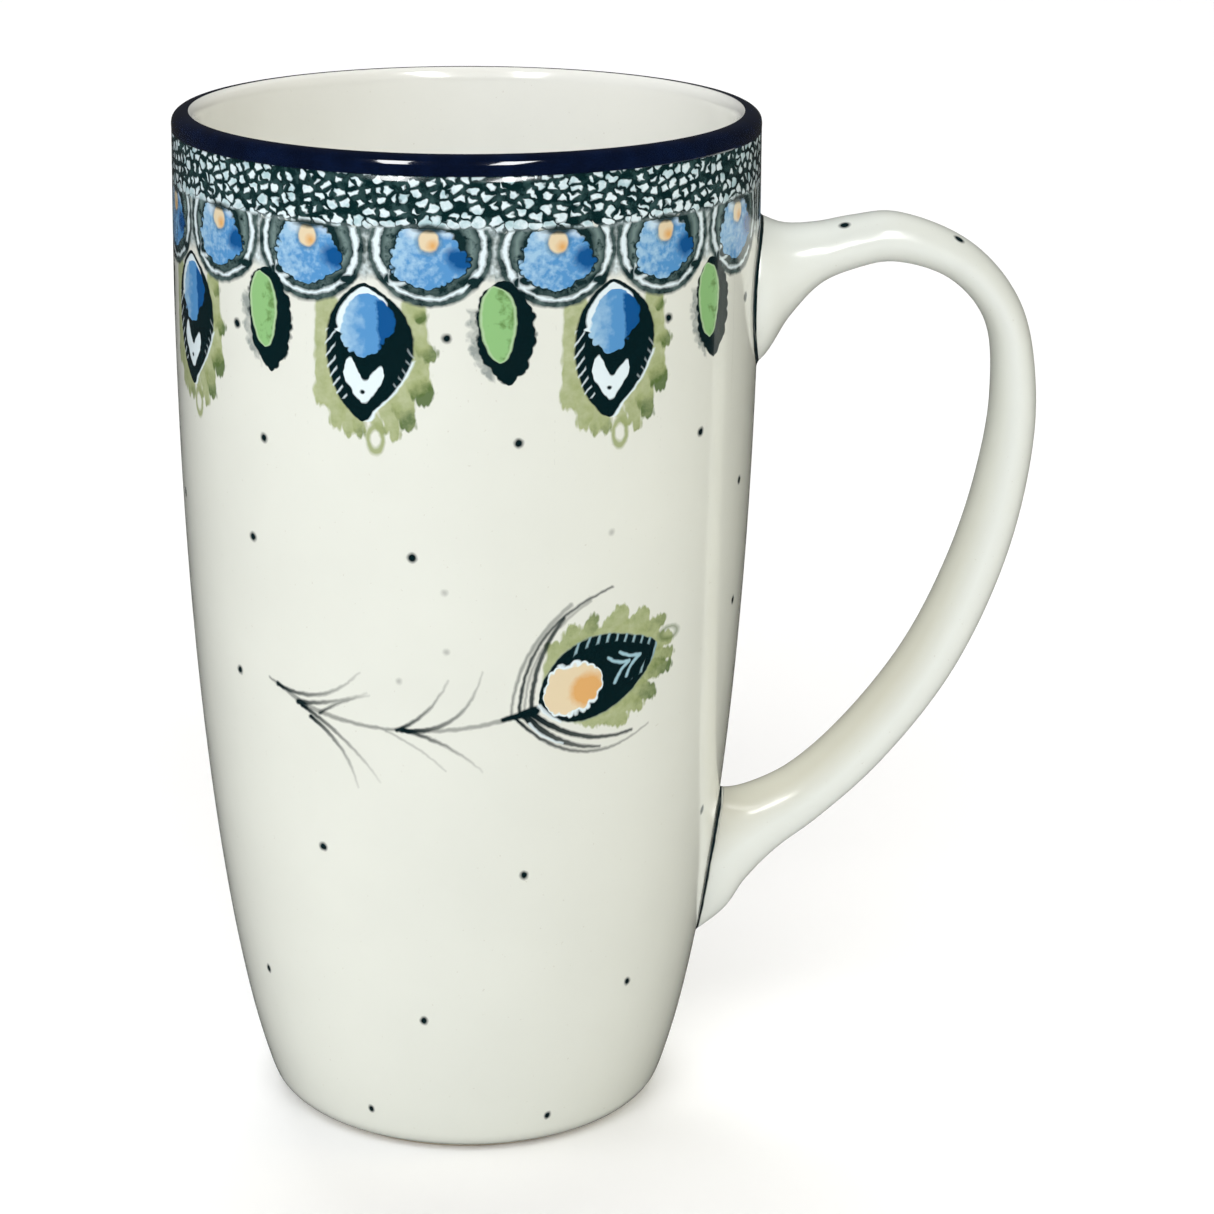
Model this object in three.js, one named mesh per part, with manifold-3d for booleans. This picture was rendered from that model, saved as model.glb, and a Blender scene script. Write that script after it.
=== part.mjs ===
// A tall folk-pottery stoneware mug: a tapered clay cup with a strap handle luted on by two pads of
// slip, under coats of glaze. Millimetres, +Z up. The origin is on the cup's axis, in the plane that
// its foot rests on, and the handle is on the +X side.

import * as THREE from 'three';
import { mergeVertices } from 'three/addons/utils/BufferGeometryUtils.js';
import Module from 'manifold-3d';

const wasm = await Module();
wasm.setup();

// Driving dimensions. Radii and heights of the cup are those of its glazed surface.
const height = 148;
const rimRadius = 41.3;
const lipCrestRadius = 39.2;
const lipInnerRadius = 37.5;
const lipOuterDrop = 1.5; // from the crest down to the upright outside wall
const lipInnerDrop = 2.2; // from the crest down to the upright inside wall
const bandLowerZ = 145.4; // the cobalt band starts here on the outside
const bandInnerRadius = 38.9; // and stops here, just past the crest
const heelTop = { r: 29.45, z: 4 };
const heelRadius = 5.2;
const heelEndAngle = -75; // where the glaze stops on the heel, in degrees below the horizontal
const floorEdge = { r: 25.2, z: 12 };
const floorFillet = 9;
const footOuterRadius = 25;
const footInnerRadius = 21.8;
const footChamfer = 0.4;
const recessZ = 1.2; // the clay ceiling of the shallow hollow inside the foot ring
const recessRadius = 21.1;
const glaze = 0.4; // thickness of every coat
const gap = 0.3; // kept beside every cut face
const slipThickness = 1.3; // luting slip under each root of the handle
const cupSides = 48;
const handleSides = 14;
const handleSteps = 40;
const printSides = 28; // sides of the oval prints that the roots leave on the wall
const heelSteps = 4;
const outerWallSteps = 8;
const lipOuterSteps = 4;
const lipInnerSteps = 3;
const innerWallSteps = 6;
const filletSteps = 4;

// Slopes of the cup's two wall curves, as the middle control points of cubic Beziers.
const outerLean = { low: { r: 35.6, z: 21 }, high: { r: 42.8, z: 72 } };
const innerLean = { low: { r: 31.6, z: 24.8 }, high: { r: 38.9, z: 72 } };

// The handle in the plane of its loop, from the upper root to the lower: facing points on its outer
// and inner edges, as x and z, and half its width along Y there. The first and the last pair lie
// inside the cup's wall.
const handleStations = [
  { outer: [33, 135.6], inner: [33, 107], wide: 11.8 },
  { outer: [41.3, 132.8], inner: [41.6, 111.9], wide: 11 },
  { outer: [44.8, 131.5], inner: [45.8, 118.3], wide: 8.8 },
  { outer: [49.5, 131.6], inner: [50.2, 123.1], wide: 7 },
  { outer: [54.8, 132.6], inner: [55, 125.2], wide: 6.1 },
  { outer: [60.7, 133.1], inner: [60.3, 126.2], wide: 5.7 },
  { outer: [71.7, 128.7], inner: [68.4, 123.8], wide: 5.6 },
  { outer: [78.9, 120.2], inner: [73.9, 117.6], wide: 5.5 },
  { outer: [81.7, 107.1], inner: [75.2, 106.9], wide: 5.5 },
  { outer: [80.9, 93.3], inner: [73.6, 94.5], wide: 5.6 },
  { outer: [77.4, 79], inner: [69.9, 81.6], wide: 5.7 },
  { outer: [70.9, 64.3], inner: [63.8, 68.4], wide: 5.7 },
  { outer: [61.1, 50.8], inner: [54.7, 56.2], wide: 5.7 },
  { outer: [52.2, 42.1], inner: [47.6, 49.7], wide: 5.6 },
  { outer: [46.2, 37.2], inner: [42.6, 47.2], wide: 5.6 },
  { outer: [41.6, 32.1], inner: [39.6, 46.4], wide: 5.8 },
  { outer: [38.6, 27.4], inner: [37.2, 46.4], wide: 6 },
  { outer: [31, 21.4], inner: [31, 47.4], wide: 6.4 },
];

// The oval prints of the handle's two roots on the wall, where the slip lies.
const upperPrint = { z: 122.9, halfHeight: 10.9, halfWidth: 11.3 };
const lowerPrint = { z: 36, halfHeight: 11.6, halfWidth: 6.7 };

// How far the slip, and then the start of the handle, stand proud of the glazed wall.
const slipTop = gap - glaze + slipThickness;
const handleStart = slipTop + gap;

const point = (r, z) => new THREE.Vector2(r, z);
const radians = THREE.MathUtils.degToRad;
const degrees = THREE.MathUtils.radToDeg;

// Points on a quarter or less of an ellipse, both ends included, with angles in degrees.
function arc(centre, radiusR, radiusZ, from, to, steps) {
  return Array.from({ length: steps + 1 }, (_, i) => {
    const angle = radians(from + ((to - from) * i) / steps);
    return point(centre.x + radiusR * Math.cos(angle), centre.y + radiusZ * Math.sin(angle));
  });
}

// A wall curve between two points, bent by two control points.
function bend(start, first, second, end, steps) {
  const curve = new THREE.CubicBezierCurve(start, point(first.r, first.z), point(second.r, second.z), end);
  return curve.getPoints(steps);
}

// An open outline moved sideways, by a distance to the left of its direction.
function offset(outline, distance) {
  return outline.map((here, i) => {
    const before = outline[Math.max(i - 1, 0)];
    const after = outline[Math.min(i + 1, outline.length - 1)];
    const along = after.clone().sub(before).normalize();
    return point(here.x - along.y * distance, here.y + along.x * distance);
  });
}

// The glazed outside, from the end of the heel up to the lower edge of the cobalt band.
function outerWall() {
  const top = point(heelTop.r, heelTop.z);
  const along = point(outerLean.low.r, outerLean.low.z).sub(top).normalize();
  const centre = point(top.x - along.y * heelRadius, top.y + along.x * heelRadius);
  const startAngle = degrees(Math.atan2(-along.x, along.y));
  const heel = arc(centre, heelRadius, heelRadius, heelEndAngle, startAngle, heelSteps);
  const wall = bend(top, outerLean.low, outerLean.high, point(rimRadius, bandLowerZ), outerWallSteps);
  return [...heel, ...wall.slice(1)];
}

// Part of the lip's inner side, which is a quarter of an ellipse, between two angles.
function lipInnerSide(from, to, steps) {
  const centre = point(lipCrestRadius, height - lipInnerDrop);
  return arc(centre, lipCrestRadius - lipInnerRadius, lipInnerDrop, from, to, steps);
}

// Angle round the lip's inner side at which the cobalt band stops.
function bandEndAngle() {
  const share = (lipCrestRadius - bandInnerRadius) / (lipCrestRadius - lipInnerRadius);
  return 90 + degrees(Math.asin(share));
}

// The lip under the cobalt band, from above the band's lower edge over the crest to its inner edge.
function bandedLip() {
  const centre = point(lipCrestRadius, height - lipOuterDrop);
  const outer = arc(centre, rimRadius - lipCrestRadius, lipOuterDrop, 0, 90, lipOuterSteps);
  return [...outer, ...lipInnerSide(90, bandEndAngle(), 1).slice(1)];
}

// The glazed inside, from below the band's inner edge down to the middle of the floor.
function innerWall() {
  const side = lipInnerSide(bandEndAngle(), 180, lipInnerSteps);
  const edge = point(floorEdge.r, floorEdge.z);
  const wall = bend(side[lipInnerSteps], innerLean.high, innerLean.low, edge, innerWallSteps);
  const along = edge.clone().sub(point(innerLean.low.r, innerLean.low.z)).normalize();
  const centre = point(edge.x + along.y * floorFillet, edge.y - along.x * floorFillet);
  const startAngle = degrees(Math.atan2(along.x, -along.y));
  const fillet = arc(centre, floorFillet, floorFillet, startAngle, -90, filletSteps);
  const middle = point(0, centre.y - floorFillet);
  return [...side.slice(1), ...wall.slice(1), ...fillet.slice(1), middle];
}

// The whole glazed outline, and the clay's surface under it.
const outside = outerWall();
const lip = bandedLip();
const inside = innerWall();
const glazed = [...outside, ...lip, ...inside];
const clay = offset(glazed, glaze);
const bandStart = outside.length - 1;
const bandEnd = bandStart + lip.length;

// A solid turned about the axis from an outline that runs anticlockwise in r and z.
function turned(outline) {
  const geometry = new THREE.LatheGeometry(outline, cupSides);
  geometry.rotateX(Math.PI / 2);
  return geometry;
}

// The coat of glaze over one stretch of the outline. It shares its back with the clay.
function coat(from, to) {
  const back = clay.slice(from, to + 1).reverse();
  const face = glazed.slice(from, to + 1);
  const reachesAxis = to === glazed.length - 1;
  return turned(reachesAxis ? [...back, ...face] : [...back, ...face, back[0]]);
}

function clayCup() {
  const foot = [
    point(0, recessZ),
    point(recessRadius, recessZ),
    point(footInnerRadius - footChamfer, footChamfer),
    point(footInnerRadius, 0),
    point(footOuterRadius, 0),
    point(footOuterRadius + footChamfer, footChamfer),
  ];
  return turned([...foot, ...clay]);
}

// The glaze in the hollow of the foot, parted from the outer coat by the bare foot ring.
function baseGlaze() {
  const radius = recessRadius - gap;
  const face = recessZ - glaze;
  return turned([point(0, face), point(radius, face), point(radius, recessZ), point(0, recessZ)]);
}

// A cup-shaped block whose wall stands a distance proud of the glazed surface.
function grownCup(distance) {
  const margin = 10;
  const wall = offset(outside, -distance);
  const top = wall[wall.length - 1];
  const above = height + margin;
  const below = [point(0, -margin), point(wall[0].x, -margin)];
  return turned([...below, ...wall, point(top.x, above), point(0, above)]);
}

// An oval bar along X that a root's print cuts out of the wall.
function printBar(print, margin) {
  const oval = new THREE.Shape();
  oval.absellipse(0, 0, print.halfHeight + margin, print.halfWidth + margin, 0, 2 * Math.PI);
  const inner = 20; // the bar starts inside the cup and ends outside it
  const outer = 60;
  const bar = new THREE.ExtrudeGeometry(oval, {
    depth: outer - inner,
    curveSegments: printSides,
    bevelEnabled: false,
  });
  bar.rotateY(Math.PI / 2);
  bar.translate(inner, 0, print.z);
  return bar;
}

// A smooth curve through one edge of the handle.
function handleEdge(side) {
  return new THREE.CatmullRomCurve3(
    handleStations.map((station) => new THREE.Vector3(station[side][0], 0, station[side][1])),
  );
}

// Oval rings from the handle's upper root to its lower one, thinned all round by a distance.
function handleRings(thinned) {
  const outerEdge = handleEdge('outer');
  const innerEdge = handleEdge('inner');
  const width = new THREE.CatmullRomCurve3(
    handleStations.map((station) => new THREE.Vector3(station.wide, 0, 0)),
  );
  return Array.from({ length: handleSteps + 1 }, (_, i) => {
    const t = i / handleSteps;
    const outer = outerEdge.getPoint(t);
    const inner = innerEdge.getPoint(t);
    const centre = outer.clone().add(inner).multiplyScalar(0.5);
    const across = outer.clone().sub(centre);
    across.setLength(across.length() - thinned);
    const halfWidth = width.getPoint(t).x - thinned;
    return Array.from({ length: handleSides }, (_, k) => {
      const angle = (2 * Math.PI * k) / handleSides;
      const vertex = centre.clone().addScaledVector(across, Math.cos(angle));
      vertex.y += halfWidth * Math.sin(angle);
      return vertex;
    });
  });
}

// A closed skin through rings of equal length, capped at both ends.
function loft(rings) {
  const sides = rings[0].length;
  const vertices = rings.flat();
  const faces = [];
  for (let i = 0; i < rings.length - 1; i++) {
    const here = i * sides;
    const next = here + sides;
    for (let k = 0; k < sides; k++) {
      const beside = (k + 1) % sides;
      faces.push(here + k, next + k, here + beside);
      faces.push(here + beside, next + k, next + beside);
    }
  }
  const last = vertices.length - sides;
  for (let k = 1; k < sides - 1; k++) {
    faces.push(0, k, k + 1);
    faces.push(last, last + k + 1, last + k);
  }
  const geometry = new THREE.BufferGeometry().setFromPoints(vertices);
  geometry.setIndex(faces);
  geometry.computeVertexNormals();
  return geometry;
}

// Booleans on closed geometries.
function solidOf(geometry) {
  const bare = geometry.clone();
  bare.deleteAttribute('normal');
  bare.deleteAttribute('uv');
  const merged = mergeVertices(bare, 1e-4);
  const index = merged.index.array;
  const triangles = [];
  for (let i = 0; i < index.length; i += 3) {
    const [a, b, c] = index.slice(i, i + 3);
    if (a !== b && b !== c && c !== a) triangles.push(a, b, c);
  }
  return new wasm.Manifold(
    new wasm.Mesh({
      numProp: 3,
      vertProperties: new Float32Array(merged.attributes.position.array),
      triVerts: new Uint32Array(triangles),
    }),
  );
}

function geometryOf(solid) {
  const mesh = solid.getMesh();
  const geometry = new THREE.BufferGeometry();
  geometry.setAttribute('position', new THREE.BufferAttribute(mesh.vertProperties, 3));
  geometry.setIndex(new THREE.BufferAttribute(mesh.triVerts, 1));
  geometry.computeVertexNormals();
  return geometry;
}

function without(geometry, ...cutters) {
  let solid = solidOf(geometry);
  for (const cutter of cutters) {
    solid = solid.subtract(solidOf(cutter));
  }
  return geometryOf(solid);
}

// The pad of slip between the clay wall and one root of the handle.
function slipPad(print) {
  const slab = solidOf(printBar(print, 0)).intersect(solidOf(grownCup(slipTop)));
  return geometryOf(slab.subtract(solidOf(grownCup(slipTop - slipThickness))));
}

const claySurface = { color: 0xcfc4ad, roughness: 0.85, metalness: 0 };
const slipSurface = { color: 0xc6baa2, roughness: 0.9, metalness: 0 };
const creamGlaze = { color: 0xe6eae2, roughness: 0.12, metalness: 0 };
const cobaltGlaze = { color: 0x081735, roughness: 0.1, metalness: 0 };

const mug = new THREE.Group();

function addPiece(name, geometry, surface) {
  const mesh = new THREE.Mesh(geometry, new THREE.MeshStandardMaterial(surface));
  mesh.name = name;
  mug.add(mesh);
}

addPiece('clay_cup', clayCup(), claySurface);
const prints = [printBar(upperPrint, gap), printBar(lowerPrint, gap)];
addPiece('outer_glaze', without(coat(0, bandStart), ...prints), creamGlaze);
addPiece('rim_band_glaze', coat(bandStart, bandEnd), cobaltGlaze);
addPiece('inner_glaze', coat(bandEnd, glazed.length - 1), creamGlaze);
addPiece('base_glaze', baseGlaze(), creamGlaze);
addPiece('upper_handle_slip', slipPad(upperPrint), slipSurface);
addPiece('lower_handle_slip', slipPad(lowerPrint), slipSurface);

const handleFace = handleRings(0);
const handleClay = handleRings(glaze);
addPiece('clay_handle', without(loft(handleClay), grownCup(handleStart)), claySurface);
addPiece('handle_glaze', without(loft(handleFace), loft(handleClay), grownCup(handleStart)), creamGlaze);

export default mug;
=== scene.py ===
"""A tall stoneware mug with peacock feathers painted under its glaze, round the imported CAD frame."""

import math

import bpy
import numpy as np
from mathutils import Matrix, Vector


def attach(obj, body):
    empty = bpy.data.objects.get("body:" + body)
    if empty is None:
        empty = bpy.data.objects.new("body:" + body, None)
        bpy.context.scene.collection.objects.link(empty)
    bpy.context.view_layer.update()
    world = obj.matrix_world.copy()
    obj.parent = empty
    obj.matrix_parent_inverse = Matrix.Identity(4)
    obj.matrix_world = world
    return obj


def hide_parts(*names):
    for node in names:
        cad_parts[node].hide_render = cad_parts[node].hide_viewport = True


MM = 0.001
RIM_RADIUS = 41.3  # mm, the radius at which widths round the mug are measured
HALF_ROUND = math.pi * RIM_RADIUS
MARKS = "mm"  # the name of the layer of numbers that the materials read

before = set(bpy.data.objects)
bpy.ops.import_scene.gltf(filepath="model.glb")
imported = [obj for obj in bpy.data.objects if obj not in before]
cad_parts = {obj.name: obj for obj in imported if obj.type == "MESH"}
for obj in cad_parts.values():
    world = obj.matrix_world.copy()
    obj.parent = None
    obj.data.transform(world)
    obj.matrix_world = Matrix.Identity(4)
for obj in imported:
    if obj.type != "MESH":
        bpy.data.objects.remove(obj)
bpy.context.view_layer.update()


# --- Shapes read from the CAD frame ---


def side_profile(node):
    """The (radius, height) pairs of a turned node's vertices on its side away from the handle, in mm."""
    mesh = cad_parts[node].data
    points = np.zeros(len(mesh.vertices) * 3)
    mesh.vertices.foreach_get("co", points)
    points = points.reshape(-1, 3) / MM
    on_side = (np.abs(points[:, 1]) < 0.01) & (points[:, 0] <= 0.001)
    return {(round(-x, 2), round(z, 2)) for x, _, z in points[on_side]}


def face_of(coat):
    """The points of a coat's outline on its outer face, which are the ones that the clay doesn't share."""
    clay = side_profile("clay_cup")
    return [p for p in side_profile(coat) if min(math.dist(p, q) for q in clay) > 0.1]


def smooth_curve(points, steps):
    """A Catmull-Rom curve through points, with a number of steps from each to the next."""
    points = np.array(points, float)
    ends = [2 * points[0] - points[1], 2 * points[-1] - points[-2]]
    padded = np.vstack([ends[0], points, ends[1]])
    curve = []
    for before, here, there, after in zip(padded, padded[1:], padded[2:], padded[3:]):
        knots = [0.0]
        for a, b in ((before, here), (here, there), (there, after)):
            knots.append(knots[-1] + max(np.linalg.norm(b - a), 1e-6) ** 0.5)
        for i in range(steps):
            t = knots[1] + (knots[2] - knots[1]) * i / steps
            low = [between(p, q, knots[k], knots[k + 1], t)
                   for k, (p, q) in enumerate(((before, here), (here, there), (there, after)))]
            mid = [between(low[0], low[1], knots[0], knots[2], t),
                   between(low[1], low[2], knots[1], knots[3], t)]
            curve.append(between(mid[0], mid[1], knots[1], knots[2], t))
    return np.array(curve + [points[-1]])


def between(a, b, start, end, t):
    """The value at t of what goes evenly from a at start to b at end."""
    return a + (b - a) * ((t - start) / (end - start))


def unit(vectors):
    return vectors / np.linalg.norm(vectors, axis=1)[:, None]


def moved_in(outline, distance):
    """An open outline moved to the left of its direction."""
    along = unit(np.gradient(outline, axis=0))
    return outline + distance * np.stack([-along[:, 1], along[:, 0]], axis=1)


# --- Meshes ---


def add_object(name, data):
    thing = bpy.data.objects.new(name, data)
    bpy.context.scene.collection.objects.link(thing)
    return thing


def make_piece(name, vertices, faces, node_names, materials, marks, zones=None):
    """Adds a smooth mesh piece, with vertices in mm, that stands for CAD nodes.

    marks are two numbers for each corner of each face, which the materials read as u and v, mostly in mm.
    zones are each face's material number.
    """
    mesh = bpy.data.meshes.new(name)
    mesh.from_pydata([tuple(Vector(v) * MM) for v in vertices], [], faces)
    for material in materials:
        mesh.materials.append(material)
    mesh.polygons.foreach_set("use_smooth", [True] * len(mesh.polygons))
    if zones is not None:
        mesh.polygons.foreach_set("material_index", zones)
    layer = mesh.uv_layers.new(name=MARKS)
    layer.data.foreach_set("uv", [c for corner in marks for c in corner])
    mesh.validate()
    mesh.update()
    piece = add_object(name, mesh)
    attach(piece, "root")
    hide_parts(*node_names)


TURNS = 288  # faces round a turned piece


def turned(outline):
    """Vertices, faces and face corners' (u, v) in mm of a closed outline turned about the axis."""
    radii, heights = np.array(outline).T
    angles = -math.pi + 2 * math.pi * np.arange(TURNS) / TURNS
    vertices = [(r * math.sin(a), -r * math.cos(a), z) for r, z in zip(radii, heights) for a in angles]
    faces, marks = [], []
    rows = len(outline)
    for i in range(rows):
        j = (i + 1) % rows
        if radii[i] < 1e-6 and radii[j] < 1e-6:
            continue
        for k in range(TURNS):
            n = (k + 1) % TURNS
            left = (k / TURNS * 2 - 1) * HALF_ROUND
            right = ((k + 1) / TURNS * 2 - 1) * HALF_ROUND
            corners = [(i * TURNS + k, (left, heights[i])), (i * TURNS + n, (right, heights[i])),
                       (j * TURNS + n, (right, heights[j])), (j * TURNS + k, (left, heights[j]))]
            if radii[i] < 1e-6:
                corners.pop(1)
            elif radii[j] < 1e-6:
                corners.pop(2)
            faces.append([c[0] for c in corners])
            marks.extend(c[1] for c in corners)
    return vertices, faces, marks


def closed_coat(face, back):
    """A coat's closed outline, from its face and its back, both running the same way."""
    return np.vstack([face, back[::-1]])


# --- Node materials ---


def paint(red, green, blue):
    """A colour given as it looks on a screen, from 0 to 255, as Blender's linear one."""
    def linear(c):
        c /= 255
        return c / 12.92 if c <= 0.04045 else ((c + 0.055) / 1.055) ** 2.4
    return (linear(red), linear(green), linear(blue), 1.0)


CREAM = paint(229, 232, 223)
# a lighter copy of CREAM for the inside and the foot's hollow: painted light that brightens the inside of
# the cup
BRIGHTENED_INNER_CREAM = paint(246, 247, 242)
# the handle's cream glaze, lifted a little whiter and bluer than CREAM as painted light for the pale sheen
# on the handle
HANDLE_CREAM = paint(231, 235, 229)
# painted shade for the handle loop's inner side, darker and warmer than HANDLE_CREAM
SHADED_HANDLE_CREAM = paint(206, 204, 188)
INK = paint(0, 28, 32)
WHITE = paint(226, 241, 246)
PALE_BLUE = paint(158, 198, 226)
MID_BLUE = paint(84, 148, 204)
DEEP_BLUE = paint(6, 82, 146)
PALE_OLIVE = paint(180, 189, 146)
OLIVE = paint(154, 166, 114)
DARK_OLIVE = paint(84, 108, 56)
LEAF = paint(142, 192, 126)
DARK_LEAF = paint(106, 146, 84)
PEACH = paint(228, 211, 176)
ORANGE = paint(224, 172, 106)
COBALT = paint(3, 13, 36)
PALE_COBALT = paint(6, 21, 50)
SPECK = paint(150, 132, 104)
MOSAIC_DARK = paint(2, 36, 38)
MOSAIC_GREY = paint(52, 80, 80)
PEBBLE_BLUE = paint(176, 206, 212)
WASH_GREY = paint(86, 106, 104)
RING_DARK = paint(20, 44, 46)
RING_GREY = paint(92, 112, 110)
HOLLOW_GREY = paint(112, 134, 132)
HOLLOW_DARK = paint(14, 42, 44)
BLOB_EDGE = paint(14, 42, 46)
DOT_EDGE = paint(60, 92, 112)
RING_CAP = paint(20, 40, 38)
LEAF_WASH = paint(120, 132, 130)
LEAF_EDGE = paint(172, 204, 158)
FEATHER_EDGE = paint(158, 178, 172)
TICK_BLUE = paint(158, 192, 200)
CHEVRON_BLUE = paint(158, 196, 208)
BARE_CLAY = paint(196, 184, 160)
PALE_CLAY = paint(216, 206, 184)
GRIT = paint(150, 134, 110)


class Amount:
    """A number that varies over a surface: an output socket that arithmetic adds Math nodes to."""

    def __init__(self, socket):
        self.socket, self.tree = socket, socket.id_data

    def math(self, operation, *others):
        """What a Math node makes of this amount and others."""
        node = new_node(self.tree, "Math", (self, *others), operation=operation)
        return Amount(node.outputs[0])

    def __add__(self, other):
        return self.math("ADD", other)

    def __sub__(self, other):
        return self.math("SUBTRACT", other)

    def __mul__(self, other):
        return self.math("MULTIPLY", other)

    def __rsub__(self, other):
        return (self * -1) + other

    def abs(self):
        return self.math("ABSOLUTE")

    def max(self, other):
        return self.math("MAXIMUM", other)

    def min(self, other):
        return self.math("MINIMUM", other)

    def scaled(self, low, high, to_low=0.0, to_high=1.0):
        """This amount from low to high, as one from to_low to to_high, clamped."""
        node = new_node(self.tree, "MapRange", (self, low, high, to_low, to_high))
        return Amount(node.outputs[0])

    def inside(self, blur):
        """1 where this distance is negative and 0 where it isn't, with an edge blurred over some mm."""
        return self.scaled(blur / 2, -blur / 2)

    def along(self, points):
        """The smooth curve through (amount, value) points, read at this amount."""
        first, last = points[0][0], points[-1][0]
        values = [v for _, v in points]
        low, high = min(values), max(values)
        node = new_node(self.tree, "FloatCurve")
        curve = node.mapping.curves[0]
        for _ in points[2:]:
            curve.points.new(0.5, 0.5)
        for slot, (at, value) in zip(curve.points, points):
            slot.location = ((at - first) / (last - first), (value - low) / max(high - low, 1e-6))
            slot.handle_type = "AUTO_CLAMPED"
        node.mapping.update()
        feed(node.inputs["Value"], self.scaled(first, last))
        return Amount(node.outputs[0]).math("MULTIPLY_ADD", high - low, low)


def feed(slot, value):
    """Gives a node's input an amount, another node's output or a plain value."""
    if isinstance(value, Amount):
        value = value.socket
    if isinstance(value, bpy.types.NodeSocket):
        slot.id_data.links.new(value, slot)
    else:
        slot.default_value = value


def feed_all(node, values):
    """Gives a node's inputs their values, by name or number."""
    for slot, value in values.items():
        feed(node.inputs[slot], value)


def new_node(tree, kind, values=(), **settings):
    """A node with its settings made and values fed to its inputs, by name or in their order."""
    node = tree.nodes.new("ShaderNode" + kind)
    for name, setting in settings.items():
        setattr(node, name, setting)
    feed_all(node, values if isinstance(values, dict) else dict(enumerate(values)))
    return node


def vector_math(operation, place, *others):
    """The vector that a vector operation gives."""
    node = new_node(place.id_data, "VectorMath", (place, *others), operation=operation)
    return node.outputs["Vector"]


def measured(operation, place, *others):
    """The number that a vector operation gives."""
    node = new_node(place.id_data, "VectorMath", (place, *others), operation=operation)
    return Amount(node.outputs["Value"])


def vector(x, y):
    return new_node(x.tree, "CombineXYZ", (x, y)).outputs[0]


def noise(place, scale, detail, roughness=0.5):
    """Smooth noise from 0 to 1 at a place, with its grain 1 / scale wide."""
    values = {"Vector": place, "Scale": scale, "Detail": detail, "Roughness": roughness}
    return Amount(new_node(place.id_data, "TexNoise", values).outputs["Fac"])


def voronoi(place, scale, feature="F1", randomness=1.0):
    """A Voronoi pattern at a place, flat in its first two numbers."""
    values = {"Vector": place, "Scale": scale, "Randomness": randomness}
    return new_node(place.id_data, "TexVoronoi", values, voronoi_dimensions="2D", feature=feature)


def cells(place, *pattern):
    """The distance in a Voronoi pattern, from the middle of a cell or from its edge."""
    return Amount(voronoi(place, *pattern).outputs["Distance"])


def cell_chance(place, *pattern):
    """A fixed random number from 0 to 1 for each cell of a Voronoi pattern."""
    colour = voronoi(place, *pattern).outputs["Color"]
    return Amount(new_node(place.id_data, "SeparateColor", (colour,)).outputs[0])


def chance(number, seed):
    """A fixed random number from 0 to 1 for each whole number."""
    node = new_node(number.tree, "TexWhiteNoise", {"W": number + seed}, noise_dimensions="1D")
    return Amount(node.outputs["Value"])


def read_marks(tree):
    """The two numbers that make_piece gave each face corner."""
    marks = new_node(tree, "UVMap", uv_map=MARKS)
    split = new_node(tree, "SeparateXYZ", (marks.outputs["UV"],))
    return Amount(split.outputs[0]), Amount(split.outputs[1])


def place_in_mm(tree):
    """The place on the surface in mm, in the object's own space."""
    node = new_node(tree, "TexCoord")
    return vector_math("MULTIPLY", node.outputs["Object"], (1 / MM,) * 3)


def nearest_spot(place, spots):
    """The distance from a place to the nearest of some spots, given as three numbers each."""
    nearest = None
    for spot in spots:
        gap = measured("DISTANCE", place, spot)
        nearest = gap if nearest is None else nearest.min(gap)
    return nearest


def blend(low, high, share):
    """A colour between two, as a share of the second."""
    values = {"Factor": share, "A": low, "B": high}
    return new_node(share.tree, "Mix", values, data_type="RGBA").outputs["Result"]


def ellipse(x, y, centre, half_width, half_height):
    """Rough distance from an ellipse's edge, negative inside."""
    place = vector((x - centre[0]) * (1 / half_width), (y - centre[1]) * (1 / half_height))
    return (measured("LENGTH", place) - 1) * min(half_width, half_height)


def outlined(x, y, outline):
    """Distance across from a shape given as rows of (y, left, right), negative inside."""
    beyond, shut = 0.25, -0.8  # mm past each end, and the half width there, where nothing is inside
    middle = [(at, (left + right) / 2) for at, left, right in outline]
    half = [(at, (right - left) / 2) for at, left, right in outline]
    rising = 1 if outline[-1][0] > outline[0][0] else -1
    before, after = outline[0][0] - rising * beyond, outline[-1][0] + rising * beyond
    middle = [(before, middle[0][1]), *middle, (after, middle[-1][1])]
    half = [(before, shut), *half, (after, shut)]
    return (x - y.along(sorted(middle))).abs() - y.along(sorted(half))


def along_and_across(place, start, end):
    """How far a place is from start, along the way to end and to the left of it."""
    length = math.dist(start, end)
    way = ((end[0] - start[0]) / length, (end[1] - start[1]) / length)
    offset = vector_math("SUBTRACT", place, (*start, 0))
    along = measured("DOT_PRODUCT", offset, (*way, 0))
    return along, measured("DOT_PRODUCT", offset, (-way[1], way[0], 0))


def stroke(place, start, end, bow, start_width, end_width):
    """A bent brush stroke in mm: the distance from its edge, and the share of its length passed."""
    length = math.dist(start, end)
    raw, side = along_and_across(place, start, end)
    share = raw.scaled(0, length)
    lift = share - share * share
    across = lift.math("MULTIPLY_ADD", -4 * bow, side)
    past = share.math("MULTIPLY_ADD", -length, raw)
    reach = measured("LENGTH", vector(across, past))
    width = share.math("MULTIPLY_ADD", (end_width - start_width) / 2, start_width / 2)
    return reach - width, share


def new_material(name):
    """A material with nodes, its node tree and its shader."""
    material = bpy.data.materials.new(name)
    material.use_nodes = True
    return material, material.node_tree, material.node_tree.nodes["Principled BSDF"]


def raise_surface(shader, height):
    """Gives a shader bumps of a height in mm."""
    bump = new_node(height.tree, "Bump", {"Distance": MM, "Height": height})
    feed(shader.inputs["Normal"], bump.outputs["Normal"])


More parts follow.
